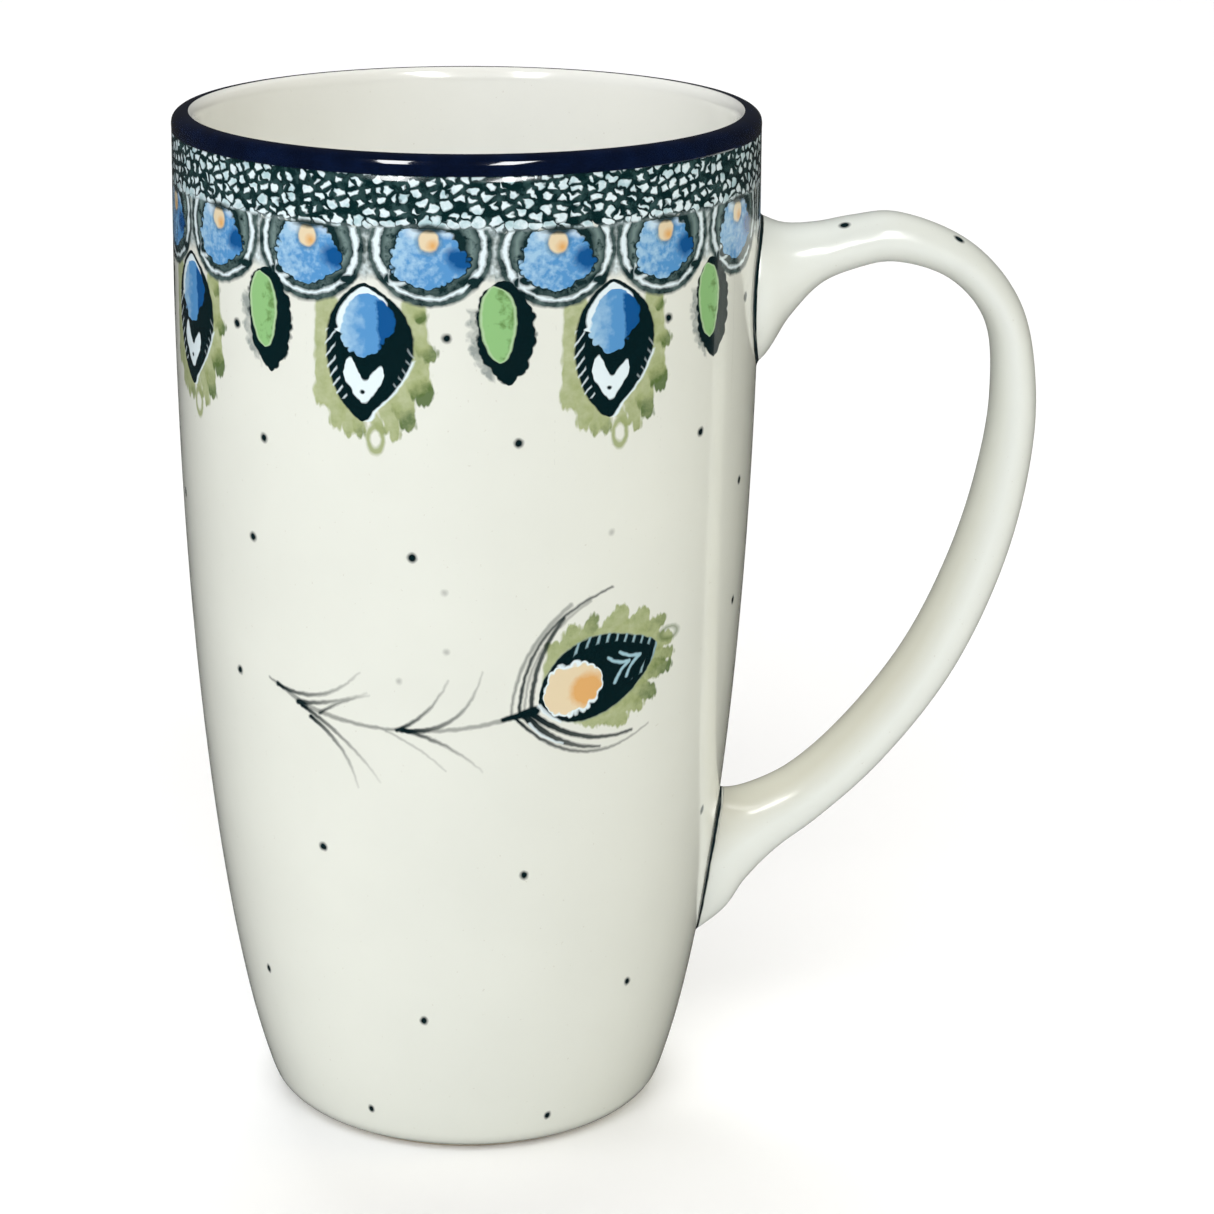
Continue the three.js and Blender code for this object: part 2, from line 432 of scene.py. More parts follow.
class Glazed:
    """A glazed surface's material, whose colour is built up as layers of paint under the glaze."""

    def __init__(self, name, ground, roughness=0.16, waves=0.03):
        self.material, self.tree, self.shader = new_material(name)
        feed_all(self.shader, {"IOR": 1.52, "Coat Weight": 0.6, "Coat Roughness": 0.04})
        self.roughness = roughness
        self.waves = waves
        self.place = place_in_mm(self.tree)
        self.colour = self.clouded(ground)

    def clouded(self, ground):
        """The ground with faint clouds and a few fine specks, as fired clear glaze has."""
        clouds = noise(self.place, 0.05, 3).scaled(0.3, 0.7)
        cloud_shade = 0.965
        darker = tuple(cloud_shade * c for c in ground[:3]) + (1,)
        colour = blend(darker, ground, clouds)
        specks = noise(self.place, 1.9, 1).scaled(0.76, 0.8, 0, 0.16)
        return blend(colour, SPECK, specks)

    def layer(self, mask, colour):
        self.colour = blend(self.colour, colour, mask)

    def fill(self, distance, colour, blur=0.3):
        """Paints what lies inside a distance."""
        self.layer(distance.inside(blur), colour)

    def finish(self):
        """Joins the colour up, and adds the faint waves and uneven gloss of poured glaze."""
        feed(self.shader.inputs["Base Color"], self.colour)
        uneven = noise(self.place, 0.25, 2)
        gloss = uneven.scaled(0.3, 0.7, self.roughness * 0.85, self.roughness * 1.2)
        feed(self.shader.inputs["Roughness"], gloss)
        raise_surface(self.shader, noise(self.place, 0.16, 2) * self.waves)
        return self.material


class Painted(Glazed):
    """The decorated outside, with (u, v) in mm: u round the mug from the front, v above the table."""

    def __init__(self, name):
        super().__init__(name, CREAM)
        u, v = read_marks(self.tree)
        shake = 0.35  # mm, how far a hand's strokes wander
        flat = vector(u, v)
        wobble = noise(flat, 0.9, 1)
        wobble_up = noise(vector(v, u), 0.9, 1)
        self.u = u + wobble.math("MULTIPLY_ADD", shake, -shake / 2)
        self.v = v + wobble_up.math("MULTIPLY_ADD", shake, -shake / 2)
        self.flat = vector(self.u, self.v)
        self.wash = noise(self.flat, 0.55, 3, 0.6)

    def repeated(self, distance, period):
        """A coordinate that repeats, from minus half a period to plus half, and the repeat's number."""
        turn = distance * (1 / period) + 0.5
        number = turn.math("FLOOR")
        return (turn - number - 0.5) * period, number

    def frayed(self, grain, low=-0.35, high=0.4):
        """What a frayed edge adds to the distance from it, in mm."""
        return cells(self.flat, grain).scaled(0.2, 0.8, low, high)

    def halved(self):
        """Repeats what is on the front half on the back."""
        self.u, _ = self.repeated(self.u, HALF_ROUND)
        self.flat = vector(self.u, self.v)


# Where the border and the large feather lie, in mm; each has a material of its own.
BORDER_BOTTOM, BORDER_TOP = 107.0, 146.0
FEATHER_BOTTOM, FEATHER_TOP = 57.0, 91.0
FEATHER_LEFT, FEATHER_RIGHT = -34.0, 38.0

DOTS = [(-29.8, 108.2), (6.9, 109.9), (36.4, 107.8), (-34.6, 123.2), (-2.6, 124.2), (29.2, 124.8),
        (48.9, 124.2), (-55.5, 94.6), (-32.8, 93.6), (-7.4, 94), (49.4, 98), (-37.9, 73), (50.4, 80),
        (-23, 49.6), (8.8, 47.1), (46, 49.2), (-40.5, 25.6), (-7.3, 23.8), (29.9, 26.5), (-19.4, 7),
        (16.4, 6.3)]
FAINT_DOTS = [(20.5, 96.4), (-9.5, 76.2), (-3, 89.2), (-2.8, 80.8)]


def paint_dots(coat, place, low, high):
    """The dots between two heights, each with a soft edge where the ink has thinned."""
    margin = 2  # mm, more than a dot's radius
    for dots, radius, strength in ((DOTS, 0.62, 1), (FAINT_DOTS, 0.4, 0.35)):
        spots = [(*p, 0) for p in dots if low - margin < p[1] < high + margin]
        if spots:
            gap = nearest_spot(place, spots)
            coat.layer((gap - radius).inside(0.5) * strength, INK)


# The parts of the border, in mm from each motif's own middle line: rows of (height, left, right),
# but the chevron's are (across, bottom, top).
RING_MIDDLE = 135.7
MOSAIC_BOTTOM = 138.4  # mm, where the pebbled band ends and the eyes begin
BLOB = [(130.5, -1.1, 0.4), (131, -2.2, 1.5), (131.6, -3.6, 2.5), (132.3, -4.3, 3.8),
        (133.5, -4.8, 4.7), (134.4, -4.9, 4.8), (135.6, -4.5, 4), (137, -3.9, 3.1), (138.2, -3.2, 2)]
DARK_FEATHER = [(112.6, -0.9, 0.1), (114, -2.4, 1.2), (116, -3.8, 3.2), (118, -4.7, 4.7),
                (120, -5.2, 5.8), (122, -5.4, 6.4), (124, -5.3, 6.4), (126, -4.9, 5.8),
                (128, -3.9, 4.6), (129.6, -2.6, 2.8), (131, -0.6, 0.6)]
BLUE_RIM = [(124.3, -3.4, -3), (125, -3.7, 0), (126, -3.8, 2), (127, -3.6, 2.6), (128, -3.1, 3),
            (129, -2.3, 2.7), (130, -1.2, 1.3), (130.6, -0.3, 0.3)]
BLUE_EYE = [(121.3, -0.8, 0.2), (122.2, -2.2, 1.6), (123.2, -2.9, 2.2), (124.2, -3.2, 3.2),
            (125.2, -3.1, 3.9), (126.4, -2.9, 4), (127.6, -2.4, 3.6), (128.6, -1.8, 2.7),
            (129.6, -0.5, 1.2)]
# Brush strokes of the olive barbs: (start, end, start width, end width, share of dark olive).
HALO = [
    ((-5.2, 127.8), (-5.9, 115.4), 3.4, 2.8, 0.1),
    ((-3.6, 118), (-4, 112), 4.4, 2, 0.2),
    ((-2.6, 115), (-2.2, 110.8), 3, 1.4, 0.25),
    ((-1, 113.6), (-0.8, 111), 2, 1.5, 0.5),
    ((1, 113.2), (2.4, 111.4), 1.6, 1, 0.45),
    ((6.4, 128.2), (6.7, 118), 3.2, 3.9, 0.05),
    ((3, 115), (4, 110.6), 3.4, 1.3, 0.3),
    ((4.6, 117), (5.6, 112.6), 4, 2.2, 0.85),
    ((6, 119.6), (7.6, 116.5), 3, 3, 1),
    ((6.6, 124), (8.4, 122), 2.2, 2.2, 0.75),
    ((6.4, 128), (7.4, 126.8), 2, 2, 0.8),
]
CHEVRON = [(-2.9, 118.6, 119.4), (-2.4, 117.5, 120.8), (-1.5, 116.1, 120.4), (-0.8, 115.4, 119),
           (-0.1, 115, 118.1), (0.7, 115.8, 118.8), (1.4, 116.6, 119.5), (2.1, 117.6, 120.1),
           (2.5, 118.8, 119.3)]
DARK_LEAF_SHAPE = [(117.8, 0.7, 1.1), (119, -0.6, 2.3), (120.2, -1.7, 3.3), (121.6, -2.5, 3.8),
                   (123.5, -3, 4.3), (125.5, -3.1, 4.3), (127.5, -3.1, 4.1), (129, -2.9, 3.3),
                   (130.2, -2.3, 2.6), (131.6, -0.7, 1)]
LEAF_SHAPE = [(120.9, -0.4, 0.1), (122, -1.6, 1.1), (123.5, -2.2, 1.5), (125, -2.6, 1.8),
              (127, -2.8, 1.9), (129, -2.6, 1.5), (130.2, -2, 0.8), (131.1, -1.1, -0.8)]

SCALLOPS = 16  # eyes all round
SCALLOP_PITCH = 2 * HALF_ROUND / SCALLOPS
CROWDING = 0.035  # how much the scallops crowd on the back, as hand stamping drifts
FIRST_SCALLOP = -4.58  # mm round from the front
FEATHER_SHIFT = -0.4  # mm from midway between two eyes
LEAF_SHIFT = 0.9
HANDLE_GAP = 60.5  # mm round from the front; no feather hangs here, where the handle leaves the wall
HANDLE_GAP_HALF = 16


def paint_mosaic(coat):
    """The stamped band of pale pebbles on dark green."""
    v = coat.v
    ground = blend(MOSAIC_DARK, MOSAIC_GREY, coat.wash.scaled(0.46, 0.7))
    shards = cells(coat.flat, 0.6).scaled(0.5, 0.8, -0.5, 0.9)
    coat.fill((138.1 - v) + shards, ground)
    bent = noise(coat.flat, 0.9, 1) - 0.5
    slanted = vector(coat.u * 0.86 + v * 0.3 + bent * 1.3, v - coat.u * 0.16 + bent * 0.7)
    grain, disorder = 0.65, 0.9
    edge = cells(slanted, grain, "DISTANCE_TO_EDGE", disorder)
    luck = cell_chance(slanted, grain, "F1", disorder)
    crowded = (v - 139).abs().scaled(0.2, 0.7, -0.14, 0.0)
    pebble = luck.scaled(0, 1, 0.1, 0.3) + crowded + coat.wash.scaled(0.3, 0.7, -0.05, 0.05) - edge
    pebble = pebble.max(cells(slanted, grain, "F1", disorder) - 0.46 + crowded)
    inside_band = (138.2 - v).max(v - 145.5)
    pale = blend(PEBBLE_BLUE, WHITE, (coat.wash + luck * 0.2).scaled(0.4, 0.62))
    coat.layer(pebble.scaled(0.05, -0.06) * inside_band.inside(0.5), pale)


def paint_scallops(coat, x, number):
    """The row of oval eyes, each a little off its place, as stamped by hand."""
    x = x + (chance(number, 3.7) - 0.5) * 0.5
    z = coat.v + (chance(number, 8.1) - 0.5) * 0.6
    paint_rings(coat, x, z)
    paint_blob(coat, x, z)
    paint_peach_dot(coat, x, z)


def paint_rings(coat, x, z):
    """A dark ring with a broken white one in it, and a milky wash between one eye and the next."""
    brush = noise(coat.flat, 0.5, 2) - 0.5
    ring = ellipse(x, z, (0, RING_MIDDLE), 7.3, 6.9) + brush * 0.7
    below = z - MOSAIC_BOTTOM
    outer = (ring - 0.7).max(below)
    fuzz = coat.wash.scaled(0.35, 0.7)
    between = below.max(131.9 - z + x.abs() * -0.12 + 0.9)
    milky = (coat.wash + noise(coat.flat, 1.3, 1) * 0.5).scaled(0.55, 0.95)
    coat.layer(between.inside(1.2) * 0.85, blend(WASH_GREY, WHITE, milky))
    coat.fill(outer, blend(RING_DARK, RING_GREY, fuzz), 0.5)
    inner = (ring + 0.9).max(below)
    shade = (ring + 1.75).abs().scaled(0.1, 0.9).max(coat.wash.scaled(0.48, 0.66))
    shade = shade.max(z.scaled(132.6, 131.4) * fuzz.scaled(0.8, 0.2, 0.45, 1))
    coat.fill(inner, blend(HOLLOW_GREY, HOLLOW_DARK, shade))
    thickness = coat.wash.scaled(0.3, 0.7, 0.18, 0.48) * z.scaled(129.5, 133, 0.6, 1)
    white = ((ring + 0.42).abs() - thickness).max(below)
    for centre, wide, high in (((-5.1, 131.7), 0.9, 0.75), ((5.6, 131.5), 1.2, 0.6)):
        gap = ellipse(x, z, centre, wide, high)
        coat.layer((gap - 0.25).inside(0.4) * outer.inside(0.3), HOLLOW_DARK)
        white = white.max(gap * -1)
    coat.fill(white, WHITE, 0.35)
    hook = (ellipse(x, z, (-4.3, 131.9), 1.4, 0.9).abs() - 0.25).max(x * -1 - 5.2)
    coat.layer(hook.inside(0.3) * 0.8, WHITE)


def paint_blob(coat, x, z):
    """The eye's blue, mottled and deeper on the right, with a frayed edge."""
    blob = outlined(x, z, BLOB) + coat.frayed(1.1, -0.35, 0.35)
    coat.fill(blob - 0.35, BLOB_EDGE)
    mottle = noise(coat.flat, 1.1, 2)
    wash = x * 0.09 + coat.wash * 1.6 + mottle * 1.6 - 1.6 - (z - 134) * 0.04
    blue = blend(PALE_BLUE, MID_BLUE, wash.scaled(-0.6, 0.25))
    deep = ellipse(x, z, (4, 134.4), 1.9, 1.5) + coat.wash * 1.6 - 0.8
    blue = blend(blue, DEEP_BLUE, deep.inside(1))
    coat.fill(blob, blue, 0.25)
    pale_top = ellipse(x, z, (-1.9, 137.9), 1.1, 0.8).min(ellipse(x, z, (2.6, 138), 1.3, 0.7))
    coat.layer(pale_top.max(blob).inside(0.7) * 0.6, WHITE)


def paint_peach_dot(coat, x, z):
    """The peach dot at the eye's top, with the dark cap over it."""
    dot = ellipse(x, z, (-0.1, 136.8), 1.3, 1.45)
    coat.layer((dot - 0.3).inside(0.7) * 0.6, DOT_EDGE)
    spot = ellipse(x, z, (0.4, 136.2), 0.6, 0.6)
    coat.fill(dot, blend(PEACH, ORANGE, spot.inside(0.9)))
    cap = ellipse(x, z, (0, MOSAIC_BOTTOM), 2, 0.55)
    coat.layer(cap.inside(0.4) * 0.9, RING_CAP)


def paint_strokes(coat, strokes, place):
    """Overlapping strokes of olive, each a little darker where its share of dark olive is higher."""
    drawn_out = vector_math("MULTIPLY", place, (1.5, 0.5, 1))
    hairs = cells(drawn_out, 1).scaled(0.1, 0.8, -0.3, 0.4)
    for start, end, start_width, end_width, dark in strokes:
        distance, share = stroke(place, start, end, 0, start_width, end_width)
        tone = coat.wash.scaled(0.3, 0.7, -0.25, 0.25) + share.scaled(0.3, 1, 0, dark)
        olive = blend(PALE_OLIVE, OLIVE, tone.scaled(-0.2, 0.3))
        olive = blend(olive, DARK_OLIVE, tone.scaled(0.3, 0.9))
        coat.layer((distance + hairs * share * 0.8).inside(0.4) * 0.95, olive)


def paint_halo(coat, x):
    """The soft olive barbs round a hanging feather, with a little loop under its tip."""
    place = vector(x, coat.v)
    paint_strokes(coat, HALO, place)
    loop = ellipse(x, coat.v, (1.3, 110.2), 1, 1.7).abs() - 0.3
    coat.layer(loop.inside(0.35) * 0.9, OLIVE)


def paint_hanging_feather(coat, x):
    """A dark drop with a blue eye and a white chevron, and fine slits along its edges."""
    v = coat.v
    dark = outlined(x, v, DARK_FEATHER)
    edge = (dark - x.scaled(2, 0, 0.35, 0.8)).max(v - 121).inside(0.4)
    coat.layer(edge * x.scaled(-0.5, 0.6), WHITE)
    coat.fill(dark, INK)
    slant = (v + x.abs() * 1.2) * (1 / 1.7)
    slit = slant.math("PINGPONG", 0.5) * 1.7 - 0.16
    reach = x.scaled(-1, 1, 1.25, 0.8)
    slits = slit.max((dark + reach) * -1).max(dark - 0.1).max((v - 120).abs() - x.scaled(-1, 1, 4.6, 2.6))
    coat.layer(slits.inside(0.3) * x.scaled(-1, 1, 0.9, 0.35), WHITE)
    coat.fill(outlined(x, v, BLUE_RIM), WHITE)
    eye = outlined(x, v, BLUE_EYE) + coat.frayed(1) * v.scaled(125, 123.5, 0.3, 1)
    mottle = noise(coat.flat, 0.9, 2)
    pale = (x * 0.5 + coat.wash * 2 + mottle * 1.6 - 1.8).scaled(-1.5, 0.3)
    blue = blend(PALE_BLUE, MID_BLUE, pale.scaled(0, 0.8))
    deep = (1.8 - x) + (125 - v) * 0.08 + (mottle - 0.5) * 1.2
    blue = blend(blue, DEEP_BLUE, deep.max(v - 129).inside(0.4))
    coat.fill(eye, blue, 0.25)
    coat.fill(outlined(v, x, CHEVRON), WHITE)
    coat.fill(ellipse(x, v, (-0.4, 116.5), 0.35, 0.3), INK, 0.2)


def paint_leaf(coat, x):
    """A dark almond with a green one in it, and a grey wash beside it."""
    v = coat.v
    dark = outlined(x, v, DARK_LEAF_SHAPE)
    frayed = coat.frayed(0.9)
    wash = (dark + frayed - 1).max(x + 1).max(v - 128)
    coat.layer(wash.inside(0.6) * coat.wash.scaled(0.3, 0.6, 0.35, 0.8), LEAF_WASH)
    coat.fill(dark + frayed * 0.6, INK)
    leaf = outlined(x, v, LEAF_SHAPE)
    green = blend(LEAF, DARK_LEAF, (coat.wash + x * 0.08).scaled(0.52, 0.68))
    coat.fill(leaf, LEAF_EDGE, 0.25)
    coat.fill(leaf + 0.35, green, 0.25)


def border_material():
    """The painted border under the rim."""
    coat = Painted("painted_border")
    drift = (coat.u * (1 / RIM_RADIUS)).math("SINE") * (CROWDING * RIM_RADIUS)
    stamped = coat.u - drift - FIRST_SCALLOP  # mm from the first eye's middle
    x, number = coat.repeated(stamped, SCALLOP_PITCH)
    hanging, _ = coat.repeated(stamped + SCALLOP_PITCH / 2 - FEATHER_SHIFT, 2 * SCALLOP_PITCH)
    leaf, _ = coat.repeated(stamped - SCALLOP_PITCH / 2 - LEAF_SHIFT, 2 * SCALLOP_PITCH)
    out_of_sight = 100  # mm, added to a feather's own coordinate where none hangs
    beside_handle = (coat.u - HANDLE_GAP).abs() - HANDLE_GAP_HALF
    hanging = hanging + beside_handle.scaled(0, -0.1, 0, out_of_sight)
    half_turn, _ = coat.repeated(coat.u, HALF_ROUND)
    paint_halo(coat, hanging)
    paint_dots(coat, vector(half_turn, coat.v), BORDER_BOTTOM, BORDER_TOP)
    paint_mosaic(coat)
    paint_scallops(coat, x, number)
    paint_hanging_feather(coat, hanging)
    paint_leaf(coat, leaf)
    return coat.finish()


# The large feather: barbs as (start, end, bow, start width, end width, darkness, fading).
BARBS = [
    ((-31, 73.5), (-24.5, 70.6), 0.2, 0.35, 0.9, 0.6, 0),
    ((-25, 70.9), (-9.5, 69), -0.5, 0.75, 0.45, 0.55, 0),
    ((-9.5, 69), (6, 70.9), -0.5, 0.5, 0.7, 0.5, 0),
    ((-29.4, 72.9), (-15.4, 76.9), -2.2, 0.75, 0.3, 1, 0.75),
    ((-25.8, 71), (-14.4, 74), -0.5, 0.8, 0.25, 1, 0.8),
    ((-22, 70), (-14, 73.7), 0.4, 0.5, 0.25, 0.9, 0.75),
    ((-25, 70.6), (-12.8, 61), 1.1, 0.7, 0.3, 1, 0.85),
    ((-23.6, 69.2), (-16.3, 59.8), 1.4, 0.75, 0.3, 1, 0.8),
    ((-10, 69), (-2.6, 76.6), -1, 0.6, 0.25, 1, 0.7),
    ((-9.2, 69), (2.2, 77.8), -2.9, 0.8, 0.25, 1, 0.7),
    ((-11.6, 68.7), (-3, 63.3), 0.5, 0.3, 0.25, 0.45, 0.4),
    ((-9, 69.1), (2.3, 63.2), 0.9, 0.7, 0.25, 1, 0.8),
]
EYE_BARBS = [
    ((6.3, 71.2), (14.6, 86.7), 2.1, 0.4, 0.7, 0.6, 0.2),
    ((7.5, 71.4), (20.9, 88.5), 4.1, 0.6, 0.4, 0.95, 0.2),
    ((8.2, 71.6), (17.6, 87), 2.7, 0.4, 0.5, 0.5, 0.2),
    ((9.2, 72), (13.6, 84.9), 1.2, 0.75, 0.6, 0.95, 0.1),
    ((7, 70.9), (28.5, 67.3), -4.1, 0.6, 0.35, 1, 0.6),
    ((8.4, 71.2), (20, 65.4), -1.3, 1.3, 0.4, 1, 0.2),
    ((9.4, 71.4), (25.4, 66.9), -1.8, 1, 0.45, 1, 0.15),
    ((5.2, 70.8), (9.8, 71.9), 0, 0.7, 1.4, 1, 0),
]
# Without darkness and fading:
WHITE_BARBS = [((10.4, 72.4), (13.6, 69.9), -0.2, 0.65, 0.3), ((9, 70), (14, 66.7), -0.5, 0.4, 0.3)]
# The eye, in mm along its own axis from its base and across it: rows of (along, right, left).
EYE_BASE = (10.4, 72.6)
EYE_TIP = (29.2, 79)
EYE_DARK = [(0, -0.4, 0.4), (1, -2.2, 2.4), (3, -4, 4.4), (6, -5.1, 5.9), (9, -5.3, 6.3),
            (12, -4.9, 5.7), (15, -3.9, 4.2), (18, -2.2, 2.2), (19.8, -0.3, 0.3)]
EYE_CREAM = [(0.9, -0.7, 0.9), (1.8, -2.3, 2.5), (3.4, -3.1, 3.9), (5.4, -3.3, 4), (7.4, -2.9, 3.4),
             (9, -1.9, 2.3), (9.9, -0.6, 0.9)]
# The eye's olive lobes, as the hanging feathers' are given.
EYE_HALO = [
    ((12, 75), (12.2, 80.8), 2.6, 2.2, 0.2),
    ((14, 77), (15, 82.6), 5, 2.6, 0.3),
    ((16, 78), (18, 84.2), 6, 1.8, 0.6),
    ((19.5, 78), (22.6, 84.4), 8, 3, 0.15),
    ((22, 78), (26.2, 83.2), 9, 3.2, 0.2),
    ((23, 79), (30.4, 82.4), 6, 1.6, 0.5),
    ((24, 78.6), (31.6, 79.4), 6, 2, 0.2),
    ((24, 76.6), (32, 77), 6, 1.8, 0.5),
    ((24, 75.4), (31.6, 75.2), 5, 2, 0.85),
    ((22, 74), (28.6, 72), 7, 2.4, 0.7),
    ((20, 73), (26.6, 70.4), 6, 1.8, 0.3),
    ((18, 73), (23.4, 69), 8, 2.6, 0.2),
    ((15, 72.5), (18.8, 69.4), 5, 2.4, 0.1),
]


def paint_barbs(coat, barbs):
    """Fine dark strokes, some of them fading towards their ends."""
    for *barb, darkness, fading in barbs:
        distance, share = stroke(coat.flat, *barb)
        strength = share.math("MULTIPLY_ADD", -fading * darkness, darkness)
        coat.layer(distance.inside(0.34) * strength, INK)


def paint_large_eye(coat):
    """The large feather's dark eye, with a peach heart, ticks along one edge and two chevrons."""
    along, across = along_and_across(coat.flat, EYE_BASE, EYE_TIP)
    dark = outlined(across, along, EYE_DARK)
    coat.layer((dark - 0.1).inside(0.4) * 0.5, FEATHER_EDGE)
    coat.fill(dark, INK)
    slit = ((along - across * 0.7) * (1 / 1.8)).math("PINGPONG", 0.5) * 1.8 - 0.2
    ticks = slit.max((dark + 1.25) * -1).max(dark).max(6.4 - along).max(-2.8 - across)
    coat.layer(ticks.inside(0.3) * 0.9, TICK_BLUE)
    cream = outlined(across, along, EYE_CREAM) + coat.frayed(0.9, -0.3, 0.3)
    coat.fill(cream - 0.15, WHITE)
    warm = ellipse(along, across, (7.3, -0.9), 2.6, 2.4) + coat.wash * 1.4 - 0.7
    coat.fill(cream + 0.32, blend(PEACH, ORANGE, warm.inside(1.2)))
    place = vector(along, across)
    for tip in (14.6, 16.6):
        for side in (1, -1):
            bar, _ = stroke(place, (tip, 0), (tip - 3, side * 2), 0.3 * side, 0.5, 0.42)
            coat.fill(bar, CHEVRON_BLUE, 0.25)


def feather_material():
    """The large feather lying across the front, and again across the back."""
    coat = Painted("painted_feather")
    coat.halved()
    paint_strokes(coat, EYE_HALO, coat.flat)
    loop = ellipse(coat.u, coat.v, (31.6, 80), 1.7, 0.9).abs() - 0.25
    coat.layer(loop.inside(0.45) * 0.6, DARK_OLIVE)
    paint_barbs(coat, EYE_BARBS)
    paint_large_eye(coat)
    for barb in WHITE_BARBS:
        distance, _ = stroke(coat.flat, *barb)
        coat.layer(distance.inside(0.3) * 0.8, WHITE)
    paint_barbs(coat, BARBS)
    paint_dots(coat, coat.flat, FEATHER_BOTTOM, FEATHER_TOP)
    return coat.finish()


def plain_material(name, low, high):
    """Cream glaze with only the dots between two heights."""
    coat = Painted(name)
    coat.halved()
    paint_dots(coat, coat.flat, low, high)
    return coat.finish()


def cobalt_material():
    """Deep blue glaze, a little paler where it lies thinner."""
    coat = Glazed("cobalt_glaze", COBALT, roughness=0.08, waves=0.02)
    thin = noise(coat.place, 0.3, 3).scaled(0.4, 0.7)
    coat.colour = blend(COBALT, PALE_COBALT, thin)
    return coat.finish()


def clay_material():
    """Bare fired stoneware: matt, gritty and a little stained."""
    material, tree, shader = new_material("bare_stoneware")
    place = place_in_mm(tree)
    patches = noise(place, 0.2, 4, 0.6)
    grit = noise(place, 3.2, 2)
    colour = blend(BARE_CLAY, PALE_CLAY, patches.scaled(0.35, 0.65))
    colour = blend(colour, GRIT, grit.scaled(0.66, 0.74, 0, 0.6))
    feed(shader.inputs["Base Color"], colour)
    feed(shader.inputs["Roughness"], patches.scaled(0.3, 0.7, 0.78, 0.92))
    raise_surface(shader, grit * 0.08)
    return material


# --- The cup ---

GLAZE = 0.4  # mm, the coats' thickness
STEPS = 6  # steps of the fine outline from one CAD point to the next
LONGEST_STEP = 1.2  # mm, the tallest face of the painted outside
FOOT_HOLLOW_TOP = 1.3  # mm; the clay's points below this height are the foot ring and the hollow in it
LIP_CENTRE = (38.5, 145.0)  # a point inside the lip's clay, as (radius, height)


def angle_round_lip(point):
    """The angle by which the lip's points are put in order, from outside to inside."""
    return math.atan2(point[1] - LIP_CENTRE[1], point[0] - LIP_CENTRE[0])


outer_points = sorted(face_of("outer_glaze"), key=lambda p: p[1])
band_points = sorted(face_of("rim_band_glaze"), key=angle_round_lip)
inner_points = sorted(face_of("inner_glaze"), key=lambda p: (-p[1], -p[0]))


def without_repeats(points):
    """The points in order, without any that is nearly the same as the one before."""
    nearly = 0.05
    kept = [points[0]]
    for p in points[1:]:
        if math.dist(p, kept[-1]) > nearly:
            kept.append(p)
    return kept


glazed_points = without_repeats([*outer_points, *band_points, *inner_points])
band_first = glazed_points.index(outer_points[-1])
band_last = glazed_points.index(band_points[-1])
glazed = smooth_curve(glazed_points, STEPS)
clay = moved_in(glazed, GLAZE)
clay[-1][0] = 0.0
clay = np.maximum(clay, [0, 0])
outer = slice(0, band_first * STEPS + 1)
band = slice(band_first * STEPS, band_last * STEPS + 1)
inner = slice(band_last * STEPS, None)


def refined(outline, longest):
    """An outline with no step longer than a length."""
    points = [outline[0]]
    for a, b in zip(outline, outline[1:]):
        count = max(1, math.ceil(np.linalg.norm(b - a) / longest))
        points.extend(a + (b - a) * (i + 1) / count for i in range(count))
    return np.array(points)


BORDER, FEATHER, UPPER_PLAIN, LOWER_PLAIN = range(4)  # the outside's materials


def outer_zone(u, v):
    """Which of the outside's materials a place has."""
    wrapped = (u + HALF_ROUND / 2) % HALF_ROUND - HALF_ROUND / 2
    if v > BORDER_BOTTOM:
        return BORDER
    if FEATHER_BOTTOM < v < FEATHER_TOP and FEATHER_LEFT < wrapped < FEATHER_RIGHT:
        return FEATHER
    return UPPER_PLAIN if v > FEATHER_BOTTOM else LOWER_PLAIN


def build_outer_glaze():
    face = refined(glazed[outer], LONGEST_STEP)
    vertices, faces, marks = turned(closed_coat(face, moved_in(face, GLAZE)))
    middles = np.reshape(marks, (-1, 4, 2)).mean(axis=1)  # its faces all have four corners
    zones = [outer_zone(u, v) for u, v in middles]
    materials = [border_material(), feather_material(),
                 plain_material("painted_dots_upper", FEATHER_BOTTOM, BORDER_BOTTOM),
                 plain_material("painted_dots_lower", 0, FEATHER_BOTTOM)]
    make_piece("outer_glaze_painted", vertices, faces, ["outer_glaze"], materials,
               marks, zones)


def make_turned(name, outline, node, material):
    vertices, faces, marks = turned(outline)
    make_piece(name, vertices, faces, [node], [material], marks)


def build_base_glaze(cream):
    """The coat in the foot's hollow, a disc with its lower edge rounded off."""
    recess = side_profile("base_glaze")
    radius = max(p[0] for p in recess)
    face_z = min(p[1] for p in recess)
    top_z = max(p[1] for p in recess)
    edge = 0.3
    outline = [(0, face_z), (radius - edge, face_z), (radius - edge / 3, face_z + edge / 3),
               (radius, face_z + edge), (radius, top_z), (0, top_z)]
    make_turned("base_glaze_smooth", outline, "base_glaze", cream)


def build_clay_cup():
    """The clay, which shows only at the foot ring."""
    below_glaze = clay[0][0] + 0.01
    foot = sorted(p for p in side_profile("clay_cup") if p[1] < FOOT_HOLLOW_TOP and p[0] <= below_glaze)
    make_turned("clay_cup_smooth", np.vstack([foot, clay]), "clay_cup", clay_material())


def build_cup():
    build_outer_glaze()
    band_outline = closed_coat(glazed[band], clay[band])
    make_turned("rim_band_smooth", band_outline, "rim_band_glaze", cobalt_material())
    # the inside and the foot's hollow get a cream lighter than the outside's, which is painted light
    cream = Glazed("cream_glaze", BRIGHTENED_INNER_CREAM).finish()
    inner_outline = closed_coat(glazed[inner], clay[inner])
    make_turned("inner_glaze_smooth", inner_outline, "inner_glaze", cream)
    build_base_glaze(cream)
    build_clay_cup()


# --- The handle ---

